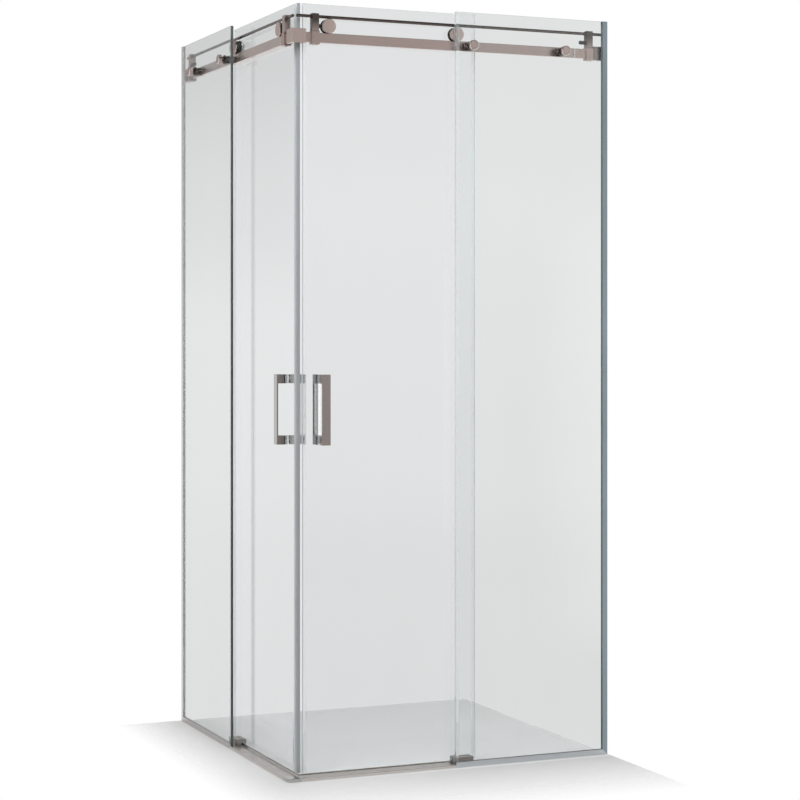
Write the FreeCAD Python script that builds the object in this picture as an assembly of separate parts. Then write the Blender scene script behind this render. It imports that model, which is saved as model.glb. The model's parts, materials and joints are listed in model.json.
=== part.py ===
import FreeCAD, Part
import os

from FreeCAD import Vector

# Frameless corner shower enclosure: two fixed glass panels and two sliding doors that meet at the corner.
# Millimetres. A side is drawn with u along it from the outer corner, d inwards from the fixed panel's
# outer face and z up. The right side has u along X, and the left side is its mirror about the diagonal.

# Overall sizes
SIDE = 900.0  # outer corner to wall, along each side
HEIGHT = 1950.0  # floor to the top of the glass
GLASS = 8.0  # thickness of every pane
PANEL_LAP = 68.0  # how far the closed door reaches behind the fixed panel
PARK_GAP = 32.0  # wall to the trailing edge of the open door

# Clearances
FIT = 0.1  # around a piece that plugs into another
THREAD_GAP = 0.05  # around screws, studs and axles in their holes
RUN_GAP = 0.2  # wheel tread above the rail
SLIDE_GAP = 0.8  # door glass to each jaw of the bottom guide
WIPE_GAP = 0.5  # soft seals to what they wipe past
STOP_GAP = 0.5  # roller to bumper at the end of its travel

# Wall and floor profiles
PROFILE = 14.0  # height above the floor, and depth off the wall
PROFILE_LIP = 1.5
PROFILE_WEB = 2.0
GASKET = 1.5
WALL_EDGE_GAP = 6.0  # web to glass edge at the wall, room for the screw heads
FLOOR_EDGE_GAP = 3.0  # web to glass edge at the floor
WALL_HOLE_R = 2.75
WALL_HOLE_END = 175.0  # from each end to the nearest screw hole
WALL_HOLE_PAIR = 560.0  # between the inner two, about mid height

# Rail, its end piece, the corner connector and the wall sockets
RAIL_DROP = 74.0  # top of the glass to the top of the rail
RAIL_H = 25.0
RAIL_T = 10.0
RAIL_ROUND = 1.0
RAIL_END = 93.0  # wall to the joint between the rail and its end piece
JOINT_GAP = 1.5
TENON = (6.0, 15.0, 20.0)  # thickness, height and length
BLOCK_WALL = 4.0  # connector and sockets stand this far off the rail's faces
BLOCK_UNDER = 3.0
BLOCK_OVER = 8.0
BLOCK_ROUND = 1.5
CORNER_ARM = 50.0
CORNER_POCKET = 18.0
SOCKET_LENGTH = 34.0
SOCKET_FLOOR = 8.0

# Rollers
PANEL_GAP = 2.0  # fixed glass to roller cap
CAP_T = 4.0
CAP_ROUND = 1.2
WHEEL_PLAY = 0.4  # cap to wheel
TREAD_R = 17.0
FLANGE = 1.5  # flange height outside the tread
OUTER_FLANGE = 1.1
INNER_FLANGE = 1.9
GROOVE_PLAY = 0.5  # flange to the side of the rail
BEARING_R = 9.0
BEARING_T = 10.0
AXLE_R = 4.0
HUB_T = 3.8
HUB_R = 17.5
HUB_PLAY = 0.3
PAD_T = 0.5  # clear washers against the door glass
BUSH_R = 7.5
ROLLER_HOLE_R = 8.0
NUT_R = 11.0
NUT_T = 3.5
FRONT_ROLLER = 62.0  # from the door glass's leading edge
REAR_ROLLER = 60.5  # from its trailing edge

# Guard rod and its brackets
ROD_R = 4.0
ROD_GAP = 1.3  # wheel flange to rod
ROD_START = 28.0
ROD_WALL_GAP = 6.0
BRACKET_WALL = 4.5
BRACKET_LENGTH = 21.0
BRACKET_UNDER = 5.0
BRACKET_OVER = 4.0
BRACKET_SCREW_INSET = 6.3
POST_LENGTH = 18.0
POST_T = 16.0
POST_ROUND = 2.0
POST_OVER = 3.0  # top of the rod to the top of the post
CORNER_BRACKET = 66.0  # where the bracket beside the corner starts
BUMPER_R = 5.0
BUMPER_STUD_R = 2.0
BUMPER_STUD = 5.0
WALL_BUMPER = 18.5  # free length of the bumper beside the wall
SET_SCREW_R = 2.5
SET_SCREW_PROUD = 1.2
SET_SCREW_KEY_R = 1.2

# Clamps that hold the rail to the fixed panel
CLAMP_HOLE_R = 7.0
CLAMP_WASHER_T = 1.0
CLAMP_PAD_GAP = 1.0  # spacer to the roller caps that pass above it
CLAMP_BASE_R = 12.0
CLAMP_BASE_T = 5.0
CLAMP_NECK_R = 8.0
CLAMP_NECK_T = 8.0
CLAMP_HEAD_R = 13.0
CLAMP_HEAD_T = 10.0
CLAMP_HEAD_ROUND = 2.0
CLAMP_BOLT_R = 4.0
CLAMP_BOLT_CATCH = 10.0  # how far the bolt runs into the head's side
CLAMP_BOLT_IN_RAIL = 8.0
FRONT_CLAMP = 42.0  # from the panel's front edge
REAR_CLAMP = 133.0  # from the wall

# Handles
HANDLE_CENTRE_U = 100.5
HANDLE_CENTRE_Z = 927.0
HANDLE_W = 23.0
HANDLE_H = 178.0
HANDLE_PLATE = 4.0
HANDLE_ROUND = 0.6
POST_SIZE = 23.0
HANDLE_BOLT_R = 3.0
HANDLE_BOLT_CATCH = 12.0
HANDLE_HOLE_R = 5.0
HANDLE_STOP_GAP = 1.5  # handle to the panel's edge seal with the door open

# Seals
SEAL_T = 1.0
SEAL_GRIP = 10.0
MAGNET_BACK = 0.7
MAGNET_GAP = 0.3
SEAL_WEB = 8.0
EDGE_SEAL_WEB = 2.5
EDGE_SEAL_FIN = 1.2
BOTTOM_SEAL = 4.5
TRAILING_WEB = 2.0

# Threshold and bottom guides
SILL_H = 8.0
SILL_LIP_H = 10.0
SILL_LIP = 7.0
SILL_BEHIND = 4.0  # sill past the door's inner face
SILL_CHAMFER = 1.0
SILL_GROOVE = (1.2, 0.8)  # width and depth of the drip grooves
SILL_GROOVES = (10.0, 24.0)
SILL_CORNER = 30.0
SILL_CORNER_RISE = 1.0
SILL_CORNER_ROUND = 12.0
GUIDE_START = 5.0  # from the panel's front edge
GUIDE_LENGTH = 53.0
GUIDE_H = 22.0
GUIDE_FOOT = 3.0
GUIDE_OUTER_JAW = 12.0
GUIDE_INNER_JAW = 10.0
GUIDE_ROUND = 1.0
GUIDE_SCREW_INSET = 13.25
GUIDE_SCREW_R = 2.25
GUIDE_SCREW_HEAD_R = 3.6
GUIDE_SCREW_HEAD = 2.0

# Radii that follow from others
FLANGE_R = TREAD_R + FLANGE
CLAMP_PAD_R = RAIL_H / 2 - FLANGE - CLAMP_PAD_GAP

# Depths, stacked inwards from the fixed panel
PROFILE_D0 = -GASKET - PROFILE_LIP
PROFILE_D1 = GLASS + GASKET + PROFILE_LIP
CAP_D = GLASS + PANEL_GAP
WHEEL_D0 = CAP_D + CAP_T + WHEEL_PLAY
RAIL_D0 = WHEEL_D0 + OUTER_FLANGE + GROOVE_PLAY
RAIL_D1 = RAIL_D0 + RAIL_T
RAIL_MID = (RAIL_D0 + RAIL_D1) / 2
WHEEL_D1 = RAIL_D1 + GROOVE_PLAY + INNER_FLANGE
HUB_D = WHEEL_D1 + HUB_PLAY
DOOR_D0 = HUB_D + HUB_T + PAD_T
DOOR_D1 = DOOR_D0 + GLASS
SILL_DEPTH = DOOR_D1 + SILL_BEHIND
HANDLE_D0 = 0.0
HANDLE_D1 = DOOR_D0 + DOOR_D1 - HANDLE_D0

# Places along a side
PANEL_U1 = SIDE - PROFILE_WEB - WALL_EDGE_GAP
HANDLE_U0 = HANDLE_CENTRE_U - HANDLE_W / 2
HANDLE_U1 = HANDLE_CENTRE_U + HANDLE_W / 2
HANDLE_REACH = HANDLE_U1 + EDGE_SEAL_WEB + HANDLE_STOP_GAP
PANEL_U0 = (SIDE - PARK_GAP - PANEL_LAP + HANDLE_REACH) / 2
TRAVEL = PANEL_U0 - HANDLE_REACH
MAGNET_U1 = DOOR_D1 + MAGNET_GAP + MAGNET_BACK
DOOR_U0 = MAGNET_U1 + SEAL_WEB
DOOR_U1 = PANEL_U0 + PANEL_LAP
ROLLERS_U = (DOOR_U0 + FRONT_ROLLER, DOOR_U1 - REAR_ROLLER)
CLAMPS_U = (PANEL_U0 + FRONT_CLAMP, SIDE - REAR_CLAMP)
RAIL_U0 = CORNER_ARM - CORNER_POCKET
RAIL_U1 = SIDE - RAIL_END
CORNER_BUMPER = ROLLERS_U[0] - FLANGE_R - STOP_GAP
WALL_BUMPER_TIP = ROLLERS_U[1] + FLANGE_R + TRAVEL + STOP_GAP
POST_INSET = (BRACKET_LENGTH - POST_LENGTH) / 2
WALL_BRACKET = WALL_BUMPER_TIP + WALL_BUMPER - POST_INSET
CORNER_SCREW_U = CORNER_ARM - CORNER_POCKET / 2
SOCKET_SCREW_U = SIDE - SOCKET_LENGTH / 2
GUIDE_U0 = PANEL_U0 + GUIDE_START
GUIDE_U1 = GUIDE_U0 + GUIDE_LENGTH

# Heights
PANEL_Z0 = PROFILE_WEB + FLOOR_EDGE_GAP
RAIL_Z1 = HEIGHT - RAIL_DROP
RAIL_Z0 = RAIL_Z1 - RAIL_H
RAIL_Z = (RAIL_Z0 + RAIL_Z1) / 2
WHEEL_Z = RAIL_Z1 + RUN_GAP + TREAD_R
ROD_Z = WHEEL_Z + FLANGE_R + ROD_GAP + ROD_R
POST_Z1 = ROD_Z + ROD_R + POST_OVER
DOOR_SEAL_Z = SILL_LIP_H + WIPE_GAP
DOOR_Z0 = DOOR_SEAL_Z + BOTTOM_SEAL
HANDLE_Z0 = HANDLE_CENTRE_Z - HANDLE_H / 2
HANDLE_Z1 = HANDLE_CENTRE_Z + HANDLE_H / 2
HANDLE_BOLTS_Z = (HANDLE_Z0 + POST_SIZE / 2, HANDLE_Z1 - POST_SIZE / 2)

# The outermost pieces are the clamp heads, and the origin is under the middle of the whole
PROUD = CLAMP_WASHER_T + CLAMP_BASE_T + CLAMP_NECK_T + CLAMP_HEAD_T
ORIGIN = (SIDE - PROUD) / 2

ALONG = Vector(1, 0, 0)
INWARD = Vector(0, 1, 0)
UP = Vector(0, 0, 1)


def box(u0, u1, d0, d1, z0, z1):
    return Part.makeBox(u1 - u0, d1 - d0, z1 - z0, Vector(u0, d0, z0))


def bar_along(u0, u1, d, z, radius):
    return Part.makeCylinder(radius, u1 - u0, Vector(u0, d, z), ALONG)


def bar_inward(u, d0, d1, z, radius):
    return Part.makeCylinder(radius, d1 - d0, Vector(u, d0, z), INWARD)


def bar_up(u, d, z0, z1, radius):
    return Part.makeCylinder(radius, z1 - z0, Vector(u, d, z0), UP)


def ring_inward(u, d0, d1, z, outer, inner):
    return bar_inward(u, d0, d1, z, outer).cut(bar_inward(u, d0, d1, z, inner))


def prism(points, direction):
    face = Part.Face(Part.makePolygon(points + points[:1]))
    return face.extrude(direction)


def edges_along(shape, direction):
    """The straight edges of a shape that run along a direction."""
    found = []
    for edge in shape.Edges:
        if edge.Curve.TypeId == "Part::GeomLine" and abs(edge.Curve.Direction.dot(direction)) > 0.999:
            found.append(edge)
    return found


def circles(shape):
    return [edge for edge in shape.Edges if edge.Curve.TypeId == "Part::GeomCircle"]


def rounded(shape, radius, direction):
    return shape.makeFillet(radius, edges_along(shape, direction))


def mitre(lower):
    """The triangle above or below the mitre line where the wall and floor profiles meet."""
    corner = SIDE - PROFILE if lower else SIDE
    level = 0.0 if lower else PROFILE
    gap = FIT if lower else 0.0
    points = [
        Vector(corner, PROFILE_D0, level),
        Vector(SIDE, PROFILE_D0, gap),
        Vector(SIDE - PROFILE, PROFILE_D0, PROFILE + gap),
    ]
    if lower:
        points.insert(1, Vector(SIDE, PROFILE_D0, level))
    return prism(points, INWARD * (PROFILE_D1 - PROFILE_D0))


def wall_profile():
    shape = box(SIDE - PROFILE, SIDE, PROFILE_D0, PROFILE_D1, 0, HEIGHT)
    shape = shape.cut(box(SIDE - PROFILE, SIDE - PROFILE_WEB, -GASKET, GLASS + GASKET, 0, HEIGHT))
    shape = shape.cut(mitre(True))
    inner = ((HEIGHT - WALL_HOLE_PAIR) / 2, (HEIGHT + WALL_HOLE_PAIR) / 2)
    for z in (WALL_HOLE_END, *inner, HEIGHT - WALL_HOLE_END):
        shape = shape.cut(bar_along(SIDE - PROFILE_WEB, SIDE, GLASS / 2, z, WALL_HOLE_R))
    return shape


def floor_profile():
    shape = box(PANEL_U0, SIDE, PROFILE_D0, PROFILE_D1, 0, PROFILE)
    shape = shape.cut(box(PANEL_U0, SIDE, -GASKET, GLASS + GASKET, PROFILE_WEB, PROFILE))
    return shape.cut(mitre(False))


def bare_panel():
    return box(PANEL_U0, PANEL_U1, 0, GLASS, PANEL_Z0, HEIGHT)


def fixed_glass():
    shape = bare_panel()
    for u in CLAMPS_U:
        shape = shape.cut(bar_inward(u, 0, GLASS, RAIL_Z, CLAMP_HOLE_R))
    return shape


def glazing_seal():
    d0, d1 = -GASKET, GLASS + GASKET
    u1, z0 = PANEL_U1 + GASKET, PANEL_Z0 - GASKET
    upright = box(SIDE - PROFILE, u1, d0, d1, z0, HEIGHT)
    sill = box(PANEL_U0, u1, d0, d1, z0, PROFILE)
    return upright.fuse(sill).removeSplitter().cut(bare_panel())


def panel_seal():
    u0, u1 = PANEL_U0 - EDGE_SEAL_WEB, PANEL_U0 + SEAL_GRIP
    z0 = PROFILE + WIPE_GAP
    shape = box(u0, u1, -SEAL_T, GLASS + SEAL_T, z0, HEIGHT)
    shape = shape.cut(box(PANEL_U0, u1, 0, GLASS, z0, HEIGHT))
    fin_top = RAIL_Z0 - BRACKET_UNDER
    fin = box(u0, u0 + EDGE_SEAL_FIN, GLASS, DOOR_D0 - WIPE_GAP, z0, fin_top)
    return shape.fuse(fin).removeSplitter()


def rail():
    shape = rounded(box(RAIL_U0, RAIL_U1, RAIL_D0, RAIL_D1, RAIL_Z0, RAIL_Z1), RAIL_ROUND, ALONG)
    for u in CLAMPS_U:
        hole = bar_inward(u, RAIL_D0, RAIL_D0 + CLAMP_BOLT_IN_RAIL + FIT, RAIL_Z, CLAMP_BOLT_R + THREAD_GAP)
        shape = shape.cut(hole)
    return shape.cut(tenon(RAIL_U1 + FIT, FIT))


def tenon(u1, clearance):
    thick, high, length = TENON
    u0 = RAIL_U1 - length - clearance
    half_d, half_z = thick / 2 + clearance, high / 2 + clearance
    return box(u0, u1, RAIL_MID - half_d, RAIL_MID + half_d, RAIL_Z - half_z, RAIL_Z + half_z)


def rail_end_piece():
    u0, u1 = RAIL_U1 + JOINT_GAP, SIDE - SOCKET_FLOOR - FIT
    shape = rounded(box(u0, u1, RAIL_D0, RAIL_D1, RAIL_Z0, RAIL_Z1), RAIL_ROUND, ALONG)
    return shape.fuse(tenon(u0 + RAIL_ROUND, 0.0)).removeSplitter()


def rail_pocket(u0, u1):
    d0, d1 = RAIL_D0 - FIT, RAIL_D1 + FIT
    return box(u0, u1, d0, d1, RAIL_Z0 - FIT, RAIL_Z1 + FIT)


def set_screw_hole(u, z0, z1):
    return bar_up(u, RAIL_MID, z0, z1, SET_SCREW_R + THREAD_GAP)


def wall_socket():
    u0 = SIDE - SOCKET_LENGTH
    z0, z1 = RAIL_Z0 - BLOCK_UNDER, RAIL_Z1 + BLOCK_OVER
    shape = box(u0, SIDE, RAIL_D0 - BLOCK_WALL, RAIL_D1 + BLOCK_WALL, z0, z1)
    shape = rounded(shape, BLOCK_ROUND, ALONG)
    shape = shape.cut(rail_pocket(u0, SIDE - SOCKET_FLOOR))
    return shape.cut(set_screw_hole(SOCKET_SCREW_U, z0, RAIL_Z0))


def corner_arm():
    z0, z1 = RAIL_Z0 - BLOCK_UNDER, RAIL_Z1 + BLOCK_OVER
    d0, d1 = RAIL_D0 - BLOCK_WALL, RAIL_D1 + BLOCK_WALL
    return box(d0, CORNER_ARM, d0, d1, z0, z1)


def corner_cuts():
    pocket = rail_pocket(RAIL_U0 - FIT, CORNER_ARM)
    return pocket.fuse(set_screw_hole(CORNER_SCREW_U, RAIL_Z0 - BLOCK_UNDER, RAIL_Z0))


def corner_connector():
    shape = corner_arm().fuse(mirrored(corner_arm())).removeSplitter()
    outer = []
    for edge in edges_along(shape, UP):
        point = edge.Vertexes[0].Point
        if abs(point.x - point.y) < FIT and point.x < RAIL_MID:
            outer.append(edge)
    shape = shape.makeFillet(BLOCK_ROUND, outer)
    return shape.cut(corner_cuts()).cut(mirrored(corner_cuts()))


def guard_rod():
    return bar_along(ROD_START, SIDE - ROD_WALL_GAP, RAIL_MID, ROD_Z, ROD_R)


def bracket_screws_u(u0):
    return u0 + BRACKET_SCREW_INSET, u0 + BRACKET_LENGTH - BRACKET_SCREW_INSET


def rod_bracket(u0, bumper_side):
    u1 = u0 + BRACKET_LENGTH
    z0, z1 = RAIL_Z0 - BRACKET_UNDER, RAIL_Z1 + BRACKET_OVER
    sleeve = box(u0, u1, RAIL_D0 - BRACKET_WALL, RAIL_D1 + BRACKET_WALL, z0, z1)
    sleeve = rounded(sleeve, POST_ROUND, ALONG)
    post_u0, post_u1 = u0 + POST_INSET, u1 - POST_INSET
    post = box(post_u0, post_u1, RAIL_MID - POST_T / 2, RAIL_MID + POST_T / 2, z1 - POST_ROUND, POST_Z1)
    post = rounded(post, POST_ROUND, ALONG)
    shape = sleeve.fuse(post).removeSplitter()
    shape = shape.cut(rail_pocket(u0, u1))
    shape = shape.cut(bar_along(u0, u1, RAIL_MID, ROD_Z, ROD_R + THREAD_GAP))
    shape = shape.cut(set_screw_hole((u0 + u1) / 2, ROD_Z, POST_Z1))
    for u in bracket_screws_u(u0):
        shape = shape.cut(set_screw_hole(u, z0, RAIL_Z0))
    stud = BUMPER_STUD + FIT
    hole_u0 = post_u1 - stud if bumper_side > 0 else post_u0
    return shape.cut(bar_along(hole_u0, hole_u0 + stud, RAIL_MID, WHEEL_Z, BUMPER_STUD_R + THREAD_GAP))


def rod_brackets():
    return [rod_bracket(CORNER_BRACKET, 1), rod_bracket(WALL_BRACKET, -1)]


def stop_bumpers():
    """Rubber buffers, each pushed into its bracket's post by a stud."""
    corner_face = CORNER_BRACKET + BRACKET_LENGTH - POST_INSET
    wall_face = WALL_BRACKET + POST_INSET
    corner = bar_along(corner_face, CORNER_BUMPER, RAIL_MID, WHEEL_Z, BUMPER_R)
    corner = corner.fuse(bar_along(corner_face - BUMPER_STUD, corner_face, RAIL_MID, WHEEL_Z, BUMPER_STUD_R))
    wall = bar_along(WALL_BUMPER_TIP, wall_face, RAIL_MID, WHEEL_Z, BUMPER_R)
    wall = wall.fuse(bar_along(wall_face, wall_face + BUMPER_STUD, RAIL_MID, WHEEL_Z, BUMPER_STUD_R))
    return [corner, wall]


def set_screw(u, tip_z, head_z):
    """A headless screw with a hexagon key hole in its free end, pointing at the rail or the rod."""
    low, high = min(tip_z, head_z), max(tip_z, head_z)
    screw = bar_up(u, RAIL_MID, low, high, SET_SCREW_R)
    key = SET_SCREW_PROUD
    key_z = high - key if head_z > tip_z else low
    return screw.cut(bar_up(u, RAIL_MID, key_z, key_z + key, SET_SCREW_KEY_R))


def set_screws():
    tip = RAIL_Z0 - FIT
    bracket_head = RAIL_Z0 - BRACKET_UNDER - SET_SCREW_PROUD
    block_head = RAIL_Z0 - BLOCK_UNDER - SET_SCREW_PROUD
    screws = []
    for u0 in (CORNER_BRACKET, WALL_BRACKET):
        for u in bracket_screws_u(u0):
            screws.append(set_screw(u, tip, bracket_head))
        middle = u0 + BRACKET_LENGTH / 2
        screws.append(set_screw(middle, ROD_Z + ROD_R + FIT, POST_Z1 + SET_SCREW_PROUD))
    for u in (CORNER_SCREW_U, SOCKET_SCREW_U):
        screws.append(set_screw(u, tip, block_head))
    return screws


def clamp_cap(u):
    """Turned knob outside the glass: a base on the washer, a neck and a round head."""
    d = -CLAMP_WASHER_T
    base = bar_inward(u, d - CLAMP_BASE_T, d, RAIL_Z, CLAMP_BASE_R)
    d -= CLAMP_BASE_T
    neck = bar_inward(u, d - CLAMP_NECK_T, d, RAIL_Z, CLAMP_NECK_R)
    d -= CLAMP_NECK_T
    head = bar_inward(u, d - CLAMP_HEAD_T, d, RAIL_Z, CLAMP_HEAD_R)
    head = head.makeFillet(CLAMP_HEAD_ROUND, circles(head))
    shape = base.fuse(neck).fuse(head).removeSplitter()
    start = -CLAMP_WASHER_T - CLAMP_BOLT_CATCH - FIT
    return shape.cut(bar_inward(u, start, 0, RAIL_Z, CLAMP_BOLT_R + THREAD_GAP))


def clamp_caps():
    return [clamp_cap(u) for u in CLAMPS_U]


def clamp_bolts():
    start = -CLAMP_WASHER_T - CLAMP_BOLT_CATCH
    return [bar_inward(u, start, RAIL_D0 + CLAMP_BOLT_IN_RAIL, RAIL_Z, CLAMP_BOLT_R) for u in CLAMPS_U]


def clamp_washers():
    bore = CLAMP_BOLT_R + THREAD_GAP
    washers = []
    for u in CLAMPS_U:
        washers.append(ring_inward(u, -CLAMP_WASHER_T, 0, RAIL_Z, CLAMP_BASE_R, bore))
        washers.append(ring_inward(u, GLASS, GLASS + CLAMP_WASHER_T, RAIL_Z, CLAMP_PAD_R, bore))
    return washers


def clamp_spacers():
    bore = CLAMP_BOLT_R + THREAD_GAP
    return [ring_inward(u, GLASS + CLAMP_WASHER_T, RAIL_D0, RAIL_Z, CLAMP_PAD_R, bore) for u in CLAMPS_U]


def threshold():
    """Low sill strip with drip grooves and an inner lip, mitred to its neighbour behind the corner piece."""
    lip_d = SILL_DEPTH - SILL_LIP
    section = [
        Vector(0, PROFILE_D0, 0),
        Vector(0, PROFILE_D0, SILL_H - SILL_CHAMFER),
        Vector(0, PROFILE_D0 + SILL_CHAMFER, SILL_H),
        Vector(0, lip_d, SILL_H),
        Vector(0, lip_d + SILL_LIP_H - SILL_H, SILL_LIP_H),
        Vector(0, SILL_DEPTH, SILL_LIP_H),
        Vector(0, SILL_DEPTH, 0),
    ]
    shape = prism(section, ALONG * PANEL_U0)
    width, depth = SILL_GROOVE
    for d in SILL_GROOVES:
        shape = shape.cut(box(0, PANEL_U0, d, d + width, SILL_H - depth, SILL_LIP_H))
    corner = SILL_CORNER + FIT
    near = [
        Vector(0, PROFILE_D0, 0),
        Vector(corner, PROFILE_D0, 0),
        Vector(corner, SILL_CORNER, 0),
        Vector(SILL_DEPTH + FIT, SILL_DEPTH, 0),
        Vector(0, SILL_DEPTH, 0),
    ]
    return shape.cut(prism(near, UP * SILL_LIP_H))


def threshold_corner():
    z1 = SILL_H + SILL_CORNER_RISE
    shape = box(PROFILE_D0, SILL_CORNER, PROFILE_D0, SILL_CORNER, 0, z1)
    outer = []
    for edge in edges_along(shape, UP):
        point = edge.Vertexes[0].Point
        if point.x < 0 and point.y < 0:
            outer.append(edge)
    return shape.makeFillet(SILL_CORNER_ROUND, outer)


def guide_screws_at():
    d = (PROFILE_D1 + DOOR_D0 - SLIDE_GAP - GUIDE_OUTER_JAW) / 2
    return [(GUIDE_U0 + GUIDE_SCREW_INSET, d), (GUIDE_U1 - GUIDE_SCREW_INSET, d)]


def bottom_guide():
    """Foot beside the floor profile with two jaws that keep the door glass upright."""
    outer_d1, inner_d0 = DOOR_D0 - SLIDE_GAP, DOOR_D1 + SLIDE_GAP
    foot = box(GUIDE_U0, GUIDE_U1, PROFILE_D1, inner_d0 + GUIDE_INNER_JAW, 0, GUIDE_FOOT)
    outer = box(GUIDE_U0, GUIDE_U1, outer_d1 - GUIDE_OUTER_JAW, outer_d1, 0, GUIDE_H)
    inner = box(GUIDE_U0, GUIDE_U1, inner_d0, inner_d0 + GUIDE_INNER_JAW, 0, GUIDE_H)
    shape = foot
    for jaw in (outer, inner):
        top = [e for e in edges_along(jaw, ALONG) if e.CenterOfMass.z > GUIDE_H / 2]
        shape = shape.fuse(jaw.makeFillet(GUIDE_ROUND, top))
    shape = shape.removeSplitter()
    for u, d in guide_screws_at():
        shape = shape.cut(bar_up(u, d, 0, GUIDE_FOOT, GUIDE_SCREW_R + THREAD_GAP))
    return shape


def guide_screws():
    screws = []
    for u, d in guide_screws_at():
        shank = bar_up(u, d, 0, GUIDE_FOOT, GUIDE_SCREW_R)
        head = bar_up(u, d, GUIDE_FOOT, GUIDE_FOOT + GUIDE_SCREW_HEAD, GUIDE_SCREW_HEAD_R)
        screws.append(shank.fuse(head).removeSplitter())
    return screws


def door_glass():
    shape = box(DOOR_U0, DOOR_U1, DOOR_D0, DOOR_D1, DOOR_Z0, HEIGHT)
    for u in ROLLERS_U:
        shape = shape.cut(bar_inward(u, DOOR_D0, DOOR_D1, WHEEL_Z, ROLLER_HOLE_R))
    for z in HANDLE_BOLTS_Z:
        shape = shape.cut(bar_inward(HANDLE_CENTRE_U, DOOR_D0, DOOR_D1, z, HANDLE_HOLE_R))
    return shape


def handle_plates():
    plates = []
    for d in (HANDLE_D0, HANDLE_D1 - HANDLE_PLATE):
        plate = box(HANDLE_U0, HANDLE_U1, d, d + HANDLE_PLATE, HANDLE_Z0, HANDLE_Z1)
        plates.append(rounded(plate, HANDLE_ROUND, UP))
    return plates


def handle_posts():
    """Square blocks that carry each plate clear of the glass, bored for the through bolts."""
    posts = []
    spans = ((HANDLE_D0 + HANDLE_PLATE, DOOR_D0 - PAD_T), (DOOR_D1 + PAD_T, HANDLE_D1 - HANDLE_PLATE))
    for z in HANDLE_BOLTS_Z:
        bolt = handle_bolt(z, FIT, THREAD_GAP)
        for d0, d1 in spans:
            post = box(HANDLE_U0, HANDLE_U1, d0, d1, z - POST_SIZE / 2, z + POST_SIZE / 2)
            posts.append(post.cut(bolt))
    return posts


def handle_bolt(z, longer, wider):
    d0 = DOOR_D0 - PAD_T - HANDLE_BOLT_CATCH - longer
    d1 = DOOR_D1 + PAD_T + HANDLE_BOLT_CATCH + longer
    return bar_inward(HANDLE_CENTRE_U, d0, d1, z, HANDLE_BOLT_R + wider)


def handle_bolts():
    return [handle_bolt(z, 0.0, 0.0) for z in HANDLE_BOLTS_Z]


def glass_pads():
    """Clear washers between the door glass and the handle posts, roller hubs and nuts."""
    places = [(HANDLE_CENTRE_U, z, POST_SIZE / 2, HANDLE_BOLT_R) for z in HANDLE_BOLTS_Z]
    places += [(u, WHEEL_Z, NUT_R, AXLE_R) for u in ROLLERS_U]
    pads = []
    for u, z, outer, bolt in places:
        bore = bolt + THREAD_GAP
        pads.append(ring_inward(u, DOOR_D0 - PAD_T, DOOR_D0, z, outer, bore))
        pads.append(ring_inward(u, DOOR_D1, DOOR_D1 + PAD_T, z, outer, bore))
    return pads


def seal_channel(u0, u1, glass_u0, glass_u1, z0):
    shape = box(u0, u1, DOOR_D0 - SEAL_T, DOOR_D1 + SEAL_T, z0, HEIGHT)
    return shape.cut(box(glass_u0, glass_u1, DOOR_D0, DOOR_D1, z0, HEIGHT))


def corner_seal():
    return seal_channel(MAGNET_U1, DOOR_U0 + SEAL_GRIP, DOOR_U0, DOOR_U0 + SEAL_GRIP, DOOR_Z0)


def trailing_seal():
    z0 = GUIDE_H + WIPE_GAP
    start = DOOR_U1 - SEAL_GRIP + FIT
    return seal_channel(start, DOOR_U1 + TRAILING_WEB, start, DOOR_U1, z0)


def magnet_strip():
    """Magnet strip with a 45 degree face, which meets the other door's on the corner's diagonal."""
    points = [
        Vector(DOOR_D0 + MAGNET_GAP, DOOR_D0, DOOR_Z0),
        Vector(MAGNET_U1, DOOR_D0, DOOR_Z0),
        Vector(MAGNET_U1, DOOR_D1, DOOR_Z0),
        Vector(DOOR_D1 + MAGNET_GAP, DOOR_D1, DOOR_Z0),
    ]
    return prism(points, UP * (HEIGHT - DOOR_Z0))


def bottom_seal():
    return box(DOOR_U0, DOOR_U1, DOOR_D0, DOOR_D1, DOOR_SEAL_Z, DOOR_Z0)


def wheel(u):
    """Grooved roller wheel that straddles the rail and turns on its bearing."""
    tread_d0, tread_d1 = RAIL_D0 - GROOVE_PLAY, RAIL_D1 + GROOVE_PLAY
    shape = bar_inward(u, WHEEL_D0, tread_d0, WHEEL_Z, FLANGE_R)
    shape = shape.fuse(bar_inward(u, tread_d0, tread_d1, WHEEL_Z, TREAD_R))
    shape = shape.fuse(bar_inward(u, tread_d1, WHEEL_D1, WHEEL_Z, FLANGE_R))
    return shape.removeSplitter().cut(bar_inward(u, WHEEL_D0, WHEEL_D1, WHEEL_Z, BEARING_R + THREAD_GAP))


def roller_bearings():
    d0, d1 = RAIL_MID - BEARING_T / 2, RAIL_MID + BEARING_T / 2
    return [ring_inward(u, d0, d1, WHEEL_Z, BEARING_R, AXLE_R + THREAD_GAP) for u in ROLLERS_U]


def roller_axles():
    """Axle bolt from the cap to the inner nut, with the hub that spaces the wheel off the glass."""
    axles = []
    for u in ROLLERS_U:
        axle = bar_inward(u, CAP_D + CAP_T / 2 + FIT, DOOR_D1 + PAD_T + NUT_T / 2, WHEEL_Z, AXLE_R)
        hub = bar_inward(u, HUB_D, DOOR_D0 - PAD_T, WHEEL_Z, HUB_R)
        axles.append(axle.fuse(hub).removeSplitter())
    return axles


def roller_caps():
    caps = []
    for u in ROLLERS_U:
        cap = bar_inward(u, CAP_D, CAP_D + CAP_T, WHEEL_Z, FLANGE_R)
        rim = [e for e in circles(cap) if e.CenterOfMass.y < CAP_D + FIT]
        cap = cap.makeFillet(CAP_ROUND, rim)
        caps.append(cap.cut(bar_inward(u, CAP_D + CAP_T / 2, CAP_D + CAP_T, WHEEL_Z, AXLE_R + THREAD_GAP)))
    return caps


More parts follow.
